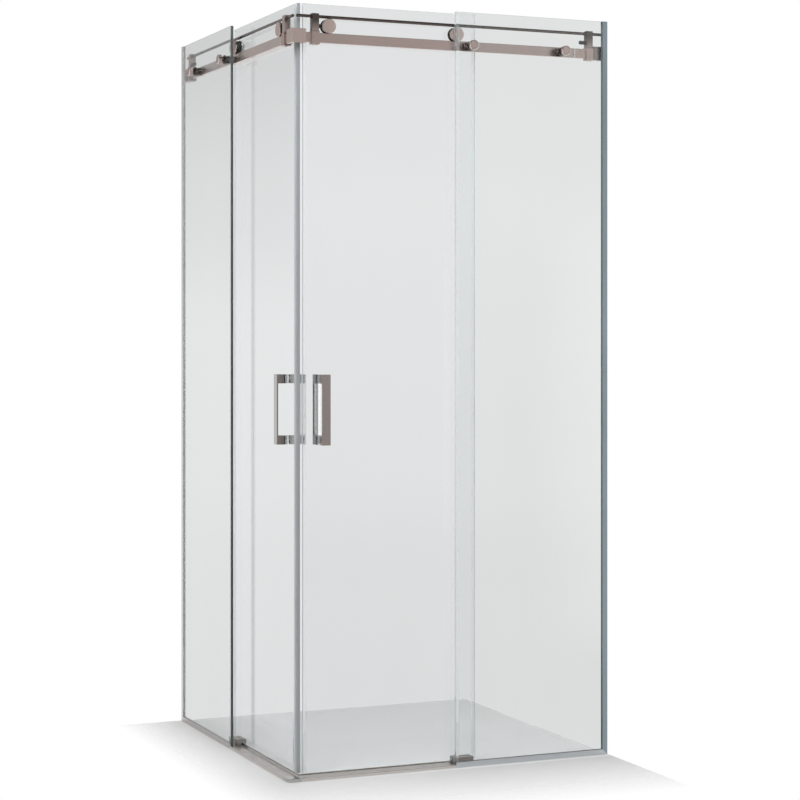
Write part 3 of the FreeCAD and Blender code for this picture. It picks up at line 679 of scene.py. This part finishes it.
bumpers = bmesh.new()
for box in solids("stop_bumpers"):
    side = side_of(box[0])
    at_corner = box[0].dot(AWAY[side]) < 0
    axis = -AWAY[side] if at_corner else AWAY[side]
    foot = end_of(box, axis)
    length = abs((box[1] - box[0]).dot(axis)) / MM
    free = length - STUD
    button = [(0, 0), (BUMPER_R, 0)] + [(radius, free - back) for radius, back in WAIST]
    button += [(BUMPER_R, free), (STUD_R, free), (STUD_R, length), (0, length)]
    turn(bumpers, button, foot, axis, steps=BUMPER_STEPS)
    round_ring(bumpers, (BUMPER_R, 0), foot, axis, BUMPER_NOSE)
ease(bumpers, BUMPER_EASE)
rubber = plastic("bumper_rubber", RUBBER_BLACK, RUBBER_ROUGH, PORES)
fit(bumpers, "rubber_bumpers", "stop_bumpers", rubber)


# Threshold
# A low aluminium sill with drip grooves lies across each doorway, and a cast and chromed corner piece covers
# the joint of the two.
SILL_GREY = (0.76, 0.715, 0.685, 1)
SILL_ROUGH = 0.26
SILL_EASE = 0.3 * MM
# The corner piece is coloured darker than chrome, for the dark surroundings it reflects: painted shade.
CORNER_CHROME_PAINTED_SHADE = (0.60, 0.59, 0.585, 1)
CORNER_EASE = 0.8 * MM
for side in SIDES:
    sill = metal(side + "_satin_sill", SILL_GREY, SILL_ROUGH, GRAIN[RUN[side]])
    fit_eased(side + "_threshold", SILL_EASE, side + "_sill", sill)
corner_chrome_painted_shade = metal("corner_chrome_painted_shade", CORNER_CHROME_PAINTED_SHADE, CHROME_ROUGH, FINE_SPECKS, SPECK_DEPTH)
fit_eased("threshold_corner", CORNER_EASE, "sill_corner", corner_chrome_painted_shade)


# Bottom guides
# Low blocks of moulded plastic just inside the fixed panes, with a slot that the door glass runs in. Two
# screws hold each one down.
GUIDE_BROWN = (0.22, 0.19, 0.178, 1)
GUIDE_ROUGH = 0.25
GUIDE_PORES = (500, 500, 500)
GUIDE_EASE = 0.4 * MM
guide_plastic = plastic("guide_plastic", GUIDE_BROWN, GUIDE_ROUGH, GUIDE_PORES)
fit_eased("bottom_guides", GUIDE_EASE, "door_guides", guide_plastic)
fit_eased("guide_screws", SCREW_EASE, "guide_fixings", steel)


# Door panes
# Sliding panes of toughened glass, drilled for their rollers and handles, with ground and arrissed edges.
# They hang on the rails from two rollers each, just inside the fixed panes.
DOOR_TINT = (0.965, 0.978, 0.985, 1)
door_glass = clear_glass("door_glass", DOOR_TINT)
for side in SIDES:
    fit(pane(side + "_door_glass"), side + "_door_pane", side + "_door_glass", door_glass, pale_edge)


# Door strips
# Clear extruded strips pushed on the edges of the door. The one at the corner holds a magnet, grey on the
# right door. On the left the same magnet is drawn as a pale, nearly clear film, so that it reads lighter:
# painted light. The one behind closes the gap to the fixed pane, and the bottom one sweeps over the sill.
TUBE_COLOUR = (0.60, 0.68, 0.70, 1)
TUBE_BODY = 0.2
MAGNET_GREY = (0.33, 0.33, 0.35, 1)
LEFT_MAGNET_PAINTED_LIGHT = (0.80, 0.84, 0.86, 1)
LEFT_MAGNET_PAINTED_LIGHT_BODY = 0.1
MAGNET_ROUGH = 0.45
MAGNET_GRAIN = (300, 300, 20)
MAGNET_EASE = 0.4 * MM
strip_tube = clear_plastic("strip_tube", TUBE_COLOUR, STRIP_ROUGH, TUBE_BODY)
magnet_finish = {
    "right": plastic("magnet_core", MAGNET_GREY, MAGNET_ROUGH, MAGNET_GRAIN),
    # Painted light: the left magnet is a pale film instead of the grey magnet.
    "left": clear_plastic("left_magnet_painted_light", LEFT_MAGNET_PAINTED_LIGHT, MAGNET_ROUGH, LEFT_MAGNET_PAINTED_LIGHT_BODY),
}
for side in SIDES:
    strip = eased(side + "_corner_seal", STRIP_EASE)
    glass_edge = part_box(side + "_door_glass")[0]
    slice_at(strip, glass_edge, AWAY[side])
    for face in strip.faces:
        face.material_index = 1 if (face.calc_center_median() - glass_edge).dot(AWAY[side]) < 0 else 0
    fit(strip, side + "_corner_strip", side + "_corner_seal", clear_strip, strip_tube)
    fit_eased(side + "_magnet_strip", MAGNET_EASE, side + "_magnet", magnet_finish[side])
    fit_eased(side + "_trailing_seal", STRIP_EASE, side + "_back_strip", clear_strip)
    fit_eased(side + "_bottom_seal", STRIP_EASE, side + "_bottom_strip", clear_strip)


# Handles
# A flat plate outside and one inside, each on two square blocks, pulled together through the glass by two
# studs with clear pads under the blocks. The outer plate and the ends of its blocks are brushed, and the rest
# is chromed. The inner blocks of the right door are coloured dark, a painted reflection, and the outer face
# of the left outer plate is coloured a lighter grey, a painted highlight.
HANDLE_GREY = (0.53, 0.46, 0.43, 1)
# The outer face of the left outer plate is coloured a lighter grey than the same brushed metal on the right:
# a painted highlight.
FACE_GREY_PAINTED_BY_SIDE = {"right": HANDLE_GREY, "left": (0.58, 0.58, 0.59, 1)}
# Chrome coloured dark on the right door's inner blocks: painted reflection.
CHROME_PAINTED_DARK_REFLECTION = (0.17, 0.21, 0.22, 1)
HANDLE_EASE = 0.5 * MM
BLOCK_BRUSHED = 14 * MM
CROWN = 1.6 * MM
CROWN_STEPS = 10
BLOCK_CROWN = 0.6 * MM
BLOCK_STEPS = 8
SQUARE_ON = 0.95
handle_brushed = metal("brushed_handle", HANDLE_GREY, BRUSHED_ROUGH, GRAIN["Z"])
chrome_painted_dark_reflection = metal("chrome_painted_dark_reflection", CHROME_PAINTED_DARK_REFLECTION, CHROME_ROUGH, FINE_SPECKS, SPECK_DEPTH)
inner_block = {"right": chrome_painted_dark_reflection, "left": chrome}
for side in SIDES:
    inward, away = INWARD[side], AWAY[side]
    node = side + "_handle_plates"
    low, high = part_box(node)
    middle = (low + high) / 2
    half = (high - low).dot(away) / 2 - HANDLE_EASE
    plates = eased(node, HANDLE_EASE)
    for step in range(1, CROWN_STEPS):
        slice_at(plates, middle + away * half * (2 * step / CROWN_STEPS - 1), away)
    crowned = {}
    for face in plates.faces:
        to_glass = inward if (middle - face.calc_center_median()).dot(inward) > 0 else -inward
        faces_glass = face.normal.dot(to_glass) > SQUARE_ON
        face.material_index = 1 if faces_glass or to_glass == -inward else 0
        if face.normal.dot(to_glass) < -SQUARE_ON and to_glass == inward:
            face.material_index = 2
        if faces_glass:
            crowned.update((vert, to_glass) for vert in face.verts)
    for vert, to_glass in crowned.items():
        off_centre = (vert.co - middle).dot(away) / half
        vert.co += to_glass * CROWN * max(0, 1 - off_centre ** 2)
    face_brushed = metal(side + "_brushed_face", FACE_GREY_PAINTED_BY_SIDE[side], BRUSHED_ROUGH, GRAIN["Z"])
    fit(plates, side + "_handle_faces", node, handle_brushed, chrome, face_brushed)
    node = side + "_handle_posts"
    blocks = eased(node, HANDLE_EASE)
    brushed_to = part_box(node)[0] + inward * BLOCK_BRUSHED
    slice_at(blocks, brushed_to, inward)
    outer_end = (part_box(side + "_door_glass")[0] - brushed_to).dot(inward)
    for step in range(1, BLOCK_STEPS):
        slice_at(blocks, brushed_to + inward * outer_end * step / BLOCK_STEPS, inward)
    bulged = {}
    for face in blocks.faces:
        along = (face.calc_center_median() - brushed_to).dot(inward)
        face.material_index = 0
        if along < 0:
            face.material_index = 1
        elif along > outer_end:
            face.material_index = 2
        if 0 < along < outer_end and abs(face.normal.dot(away)) > SQUARE_ON:
            bulged.update((vert, face.normal.copy()) for vert in face.verts)
    for vert, outward in bulged.items():
        off_centre = 2 * (vert.co - brushed_to).dot(inward) / outer_end - 1
        vert.co += outward * BLOCK_CROWN * max(0, 1 - off_centre ** 2)
    fit(blocks, side + "_handle_blocks", node, chrome, handle_brushed, inner_block[side])
    fit_eased(side + "_handle_bolts", RAIL_EASE, side + "_handle_studs", steel)
    fit_eased(side + "_glass_pads", PAD_EASE, side + "_pads", clear_strip)


# Rollers
# A grooved nylon wheel on a ball bearing runs on the rail, behind a brushed cap. Its axle goes through the
# glass in a clear bush, and a chromed button with a hexagon socket is screwed on inside.
NYLON_BLACK = (0.018, 0.018, 0.02, 1)
NYLON_ROUGH = 0.4
WHEEL = [
    (9.05, 0), (18.5, 0), (18.5, 1.1), (17, 1.1), (17, 12.1), (18.5, 12.1), (18.5, 14), (15.8, 14),
    (15.2, 12.8), (11.2, 12.8), (10.6, 14), (9.05, 14)
]
WHEEL_EASE = 0.35 * MM
BEARING = [
    (4.05, 0), (5.4, 0), (5.6, 0.35), (7.4, 0.35), (7.6, 0), (9, 0), (9, 10), (7.6, 10), (7.4, 9.65),
    (5.6, 9.65), (5.4, 10), (4.05, 10)
]
CAP = [(0, 0), (18.5, 0), (18.5, 4), (4.05, 4), (4.05, 2), (0, 2)]
CAP_FRONT = (18.5, 0)
CAP_ROUND = 1.2 * MM
BUTTON_KEY = 3
BUTTON = [
    (0, 1.85), (4.05, 1.85), (4.05, 0), (11, 0), (11, 3.5), (BUTTON_KEY, 3.5), (BUTTON_KEY, 2.4), (0, 2.4)
]
BUTTON_FRONT = (11, 3.5)
BUTTON_ROUND = 1 * MM
nylon = plastic("black_nylon", NYLON_BLACK, NYLON_ROUGH, GUIDE_PORES)
for side in SIDES:
    inward = INWARD[side]
    for place in ("front", "rear"):
        node = side + "_" + place + "_wheel"
        wheel = bmesh.new()
        turn(wheel, WHEEL, end_of(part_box(node), inward), inward, ring=True)
        ease(wheel, WHEEL_EASE)
        fit(wheel, node + "_tyre", node, nylon)
    bearings = bmesh.new()
    for box in solids(side + "_roller_bearings"):
        turn(bearings, BEARING, end_of(box, inward), inward, ring=True)
    fit(bearings, side + "_bearings", side + "_roller_bearings", steel)
    fit_eased(side + "_roller_axles", RAIL_EASE, side + "_axles", steel)
    caps = bmesh.new()
    for box in solids(side + "_roller_caps"):
        foot = end_of(box, inward)
        turn(caps, CAP, foot, inward)
        round_ring(caps, CAP_FRONT, foot, inward, CAP_ROUND)
    ease(caps, RAIL_EASE)
    fit(caps, side + "_roller_covers", side + "_roller_caps", light_brushed)
    fit_eased(side + "_roller_bushes", RAIL_EASE, side + "_bushes", clear_strip)
    buttons = bmesh.new()
    for box in solids(side + "_roller_nuts"):
        foot = end_of(box, inward)
        turn(buttons, BUTTON, foot, inward)
        cut_hexagon(buttons, foot, inward, BUTTON_KEY)
        round_ring(buttons, BUTTON_FRONT, foot, inward, BUTTON_ROUND)
    fit(buttons, side + "_roller_buttons", side + "_roller_nuts", chrome)


# Studio
# A pale floor, a little darker in front, fades out into a white backdrop that looks greyer through the
# panes. Its grey near the enclosure is partly floor tone and partly painted shadow, and the darker front is
# painted shadow. There is one large soft lamp, and the surroundings have lighter and darker stretches for the
# metal and the glass to reflect.
FLOOR_SHADE = 0.70
FLOOR_HALF = 0.46
# In front the floor is coloured darker near the sill: painted shadow.
FRONT_PAINTED_SHADOW = [(0.27, 0.70), (0.55, 0.58)]
# How far the grey, partly a painted shadow, fades out on the open sides.
SHADOW_FADE_OUT = {"X": 0.17, "Y": 0.42}
FAR_FADE = 0.006
FLOOR_RADIUS = 2.0
FLOOR_STEPS = 96
FLOOR_ROUGH = 0.9
AMBIENT = 0.52
BEHIND_GLASS = [
    (0.41, 0.75), (0.44, 0.77), (0.47, 0.815), (0.50, 0.83), (0.53, 0.83), (0.55, 0.81), (0.57, 0.79)
]
LAMP_SIZE = 3.0
LAMP_POWER = 150
LAMP_PLACE = Vector((-1.6, -2.6, 4.2))
LAMP_AIM = Vector((0, 0, 0.8))
FRONT_BY_HEIGHT = [
    (0.00, 0.80), (0.40, 0.75), (0.455, 0.48), (0.485, 0.42), (0.50, 0.45), (0.54, 0.75), (0.57, 0.88),
    (0.61, 0.85), (0.68, 0.45), (0.76, 0.16), (0.90, 0.12), (0.96, 0.55), (1.00, 0.80)
]
BACK_BY_HEIGHT = [
    (0.00, 0.85), (0.50, 1.00), (0.535, 0.75), (0.57, 0.52), (0.60, 0.75), (0.68, 0.60), (0.76, 0.20),
    (0.90, 0.15), (0.96, 0.55), (1.00, 0.80)
]
BACK_SHARE = [(0.00, 0.60), (0.20, 0.00), (0.45, 0.00), (0.60, 1.00), (0.90, 1.00), (1.00, 0.60)]
BY_TURN = [
    (0.00, 0.85), (0.04, 0.90), (0.055, 1.60), (0.085, 1.60), (0.10, 0.95), (0.15, 1.00), (0.214, 1.00),
    (0.222, 0.06), (0.286, 0.08), (0.296, 0.72), (0.325, 0.85), (0.335, 1.00), (0.55, 0.95), (0.66, 1.00),
    (0.72, 0.95), (0.80, 0.78), (0.88, 0.78), (1.00, 0.85)
]
ANY_BOUNCE = 0.5
PANEL_SHADE = 1.3
PANEL_BY_TURN = [(0.325, 0.0), (0.332, 1.0), (0.41, 1.0), (0.42, 0.0)]
PANEL_BY_HEIGHT = [(0.42, 0.0), (0.435, 1.0), (0.52, 1.0), (0.535, 0.0)]


def grey(shade):
    """A shade of grey as a colour."""
    return (shade, shade, shade, 1)


def grey_row(tree, value, stops):
    """A row of grey shades by place, from 0 to 1."""
    node = tree.nodes.new("ShaderNodeValToRGB")
    row = node.color_ramp
    row.interpolation = "EASE"
    while len(row.elements) < len(stops):
        row.elements.new(0.5)
    for element, (place, shade) in zip(row.elements, stops):
        element.position = place
        element.color = grey(shade)
    tree.links.new(value, node.inputs["Fac"])
    return node.outputs["Color"]


def as_share(tree, value, span):
    """Maps a value between minus and plus a span to a share from 0 to 1."""
    return worked(tree, "MULTIPLY_ADD", value, 0.5 / span, 0.5)


ground = bpy.data.meshes.new("studio_floor")
disc = bmesh.new()
bmesh.ops.create_circle(disc, cap_ends=True, segments=FLOOR_STEPS, radius=FLOOR_RADIUS)
disc.to_mesh(ground)
disc.free()
floor = bpy.data.objects.new("studio_floor", ground)
bpy.context.scene.collection.objects.link(floor)
pale, tree, shader = new_finish("floor_with_painted_shadow")
shader.inputs["Roughness"].default_value = FLOOR_ROUGH
shader.inputs["Specular IOR Level"].default_value = 0.0
place = coordinates(tree, "Object")
in_front = worked(tree, "LESS_THAN", place["Y"], -FLOOR_HALF)
front_painted_shadow = grey_row(tree, as_share(tree, place["X"], 1), FRONT_PAINTED_SHADOW)
shade = chosen(tree, in_front, grey(FLOOR_SHADE), front_painted_shadow)
tree.links.new(shade, shader.inputs["Base Color"])
squares = []
for axis in ("X", "Y"):
    reach = SHADOW_FADE_OUT[axis]
    open_side = worked(tree, "MULTIPLY_ADD", place[axis], -1 / reach, -FLOOR_HALF / reach)
    far_side = worked(tree, "MULTIPLY_ADD", place[axis], 1 / FAR_FADE, -FLOOR_HALF / FAR_FADE)
    past = worked(tree, "MAXIMUM", worked(tree, "MAXIMUM", open_side, far_side), 0)
    squares.append(worked(tree, "MULTIPLY", past, past))
shadow_faded = worked(tree, "MINIMUM", worked(tree, "SQRT", worked(tree, "ADD", *squares)), 1)
see_through(tree, shader, shadow_faded, grey(1))
floor.data.materials.append(pale)

world = bpy.data.worlds.new("studio")
bpy.context.scene.world = world
world.use_nodes = True
tree = world.node_tree
path = tree.nodes.new("ShaderNodeLightPath").outputs
mirrored = worked(tree, "GREATER_THAN", path["Glossy Depth"], ANY_BOUNCE)
scattered = worked(tree, "GREATER_THAN", path["Diffuse Depth"], ANY_BOUNCE)
bounced = worked(tree, "MAXIMUM", mirrored, scattered)
seen = worked(tree, "MAXIMUM", path["Is Camera Ray"], path["Is Transmission Ray"])
straight = worked(tree, "MULTIPLY", seen, worked(tree, "SUBTRACT", 1, bounced))
outlook = coordinates(tree, "Generated")
height = as_share(tree, outlook["Z"], 1)
angle = worked(tree, "ARCTAN2", outlook["Y"], outlook["X"])
around = as_share(tree, angle, pi)
front = grey_row(tree, height, FRONT_BY_HEIGHT)
back = grey_row(tree, height, BACK_BY_HEIGHT)
upright = chosen(tree, grey_row(tree, around, BACK_SHARE), front, back)
surround = chosen(tree, 1.0, upright, grey_row(tree, around, BY_TURN), "MULTIPLY")
panel = worked(
    tree, "MULTIPLY", grey_row(tree, around, PANEL_BY_TURN), grey_row(tree, height, PANEL_BY_HEIGHT)
)
surround = chosen(tree, panel, surround, grey(PANEL_SHADE))
light = chosen(tree, mirrored, grey(AMBIENT), surround)
behind_glass = grey_row(tree, height, BEHIND_GLASS)
backdrop = chosen(tree, path["Is Camera Ray"], behind_glass, grey(1))
tree.links.new(chosen(tree, straight, light, backdrop), tree.nodes["Background"].inputs["Color"])

lamp = bpy.data.lights.new("softbox", "AREA")
lamp.shape = "RECTANGLE"
lamp.size = LAMP_SIZE
lamp.size_y = LAMP_SIZE
lamp.energy = LAMP_POWER
softbox = bpy.data.objects.new("softbox", lamp)
softbox.visible_glossy = False
softbox.location = LAMP_PLACE
softbox.rotation_euler = (LAMP_AIM - LAMP_PLACE).to_track_quat("-Z", "Y").to_euler()
bpy.context.scene.collection.objects.link(softbox)


# Camera
# A long lens at chest height, turned so that both sides show. It looks level, and its frame is shifted down
# so that uprights stay upright.
CAMERA_PLACE = (-2.18054, -5.22592, 1.11055)
CAMERA_TURN = -0.4034
SENSOR = 36.0
FRAME_PX = 800
FOCAL_PX = 2042.727
AXIS_PX = 337.02
view = bpy.data.cameras.new("camera")
view.sensor_width = SENSOR
view.lens = FOCAL_PX / FRAME_PX * SENSOR
view.shift_y = (AXIS_PX - FRAME_PX / 2) / FRAME_PX
camera = bpy.data.objects.new("camera", view)
camera.location = CAMERA_PLACE
camera.rotation_euler = (radians(90), 0, CAMERA_TURN)
bpy.context.scene.collection.objects.link(camera)
bpy.context.scene.camera = camera
bpy.context.scene.view_settings.view_transform = "Standard"
